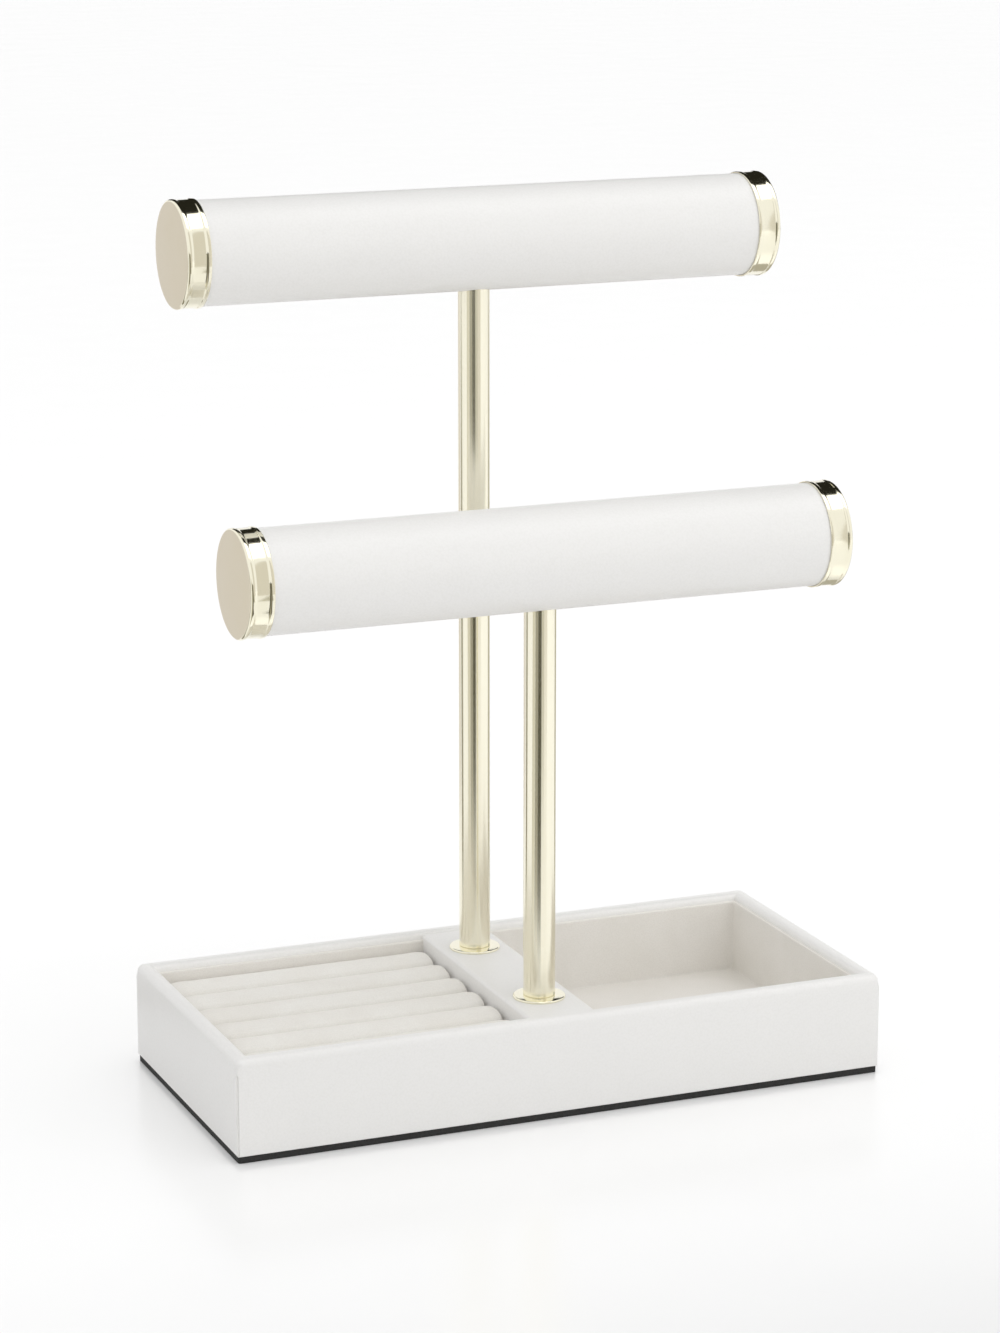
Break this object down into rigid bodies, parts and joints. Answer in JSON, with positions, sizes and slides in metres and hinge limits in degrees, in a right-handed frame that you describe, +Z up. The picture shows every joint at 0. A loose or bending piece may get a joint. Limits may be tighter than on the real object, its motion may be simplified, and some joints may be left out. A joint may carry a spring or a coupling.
{
  "type": "jewelry stand",
  "caption": "Tiered jewelry stand: a white leather-covered tray with a ring cushion and an open compartment, gold poles and round bars that turn, for necklaces, bracelets and watches.",
  "frame": {"origin": "on the resting surface, under the middle of the tray", "axes": "+X along the bars and the tray's length, +Y to the taller pole at the back, +Z up"},
  "size_m": [0.23, 0.108, 0.2988],
  "materials": {
    "white_leather": "smooth white PU leather with a fine grain, satin",
    "lining_velvet": "off-white short velvet on card, matte",
    "ring_velvet": "white velvet over soft foam, matte",
    "gold_plating": "pale champagne gold plating, polished",
    "zinc_steel": "zinc plated steel, satin",
    "brass_insert": "turned brass, bare",
    "paper_tube": "rolled kraft paper tube, matte",
    "fibreboard": "medium density fibreboard, raw",
    "black_foam": "closed-cell foam sheet, matte near-black"
  },
  "bodies": {
    "base": {"base_pad": "black_foam", "bottom_panel": "fibreboard", "front_wall": "fibreboard", "back_wall": "fibreboard", "left_wall": "fibreboard", "right_wall": "fibreboard", "tray_wrap": "white_leather", "left_lining": "lining_velvet", "right_lining": "lining_velvet", "bridge_block": "fibreboard", "bridge_cover": "white_leather", "rear_base_bolt": "zinc_steel", "rear_pole_flange": "gold_plating", "rear_pole": "gold_plating", "rear_foot_plug": "zinc_steel", "rear_head_plug": "zinc_steel", "front_base_bolt": "zinc_steel", "front_pole_flange": "gold_plating", "front_pole": "gold_plating", "front_foot_plug": "zinc_steel", "front_head_plug": "zinc_steel"},
    "upper_bar": {"upper_bar_core": "paper_tube", "upper_bar_sleeve": "white_leather", "upper_left_cap": "gold_plating", "upper_right_cap": "gold_plating", "upper_bar_hub": "fibreboard", "upper_bar_insert": "brass_insert"},
    "lower_bar": {"lower_bar_core": "paper_tube", "lower_bar_sleeve": "white_leather", "lower_left_cap": "gold_plating", "lower_right_cap": "gold_plating", "lower_bar_hub": "fibreboard", "lower_bar_insert": "brass_insert"},
    "ring_cushion": {"cushion_board": "fibreboard", "ring_roll_1": "ring_velvet", "ring_roll_2": "ring_velvet", "ring_roll_3": "ring_velvet", "ring_roll_4": "ring_velvet", "ring_roll_5": "ring_velvet", "ring_roll_6": "ring_velvet"}
  },
  "joints": [
    {"name": "upper_bar_swivel", "type": "hinge", "parent": "base", "child": "upper_bar", "pos_m": [0, 0.0288, 0.281], "axis": [0, 0, 1], "range_deg": [-90, 90]},
    {"name": "lower_bar_swivel", "type": "hinge", "parent": "base", "child": "lower_bar", "pos_m": [0, -0.0288, 0.184], "axis": [0, 0, 1], "range_deg": [-65, 65]},
    {"name": "ring_cushion_lift", "type": "slide", "parent": "base", "child": "ring_cushion", "axis": [0, 0, 1], "range_m": [0, 0.04]}
  ]
}
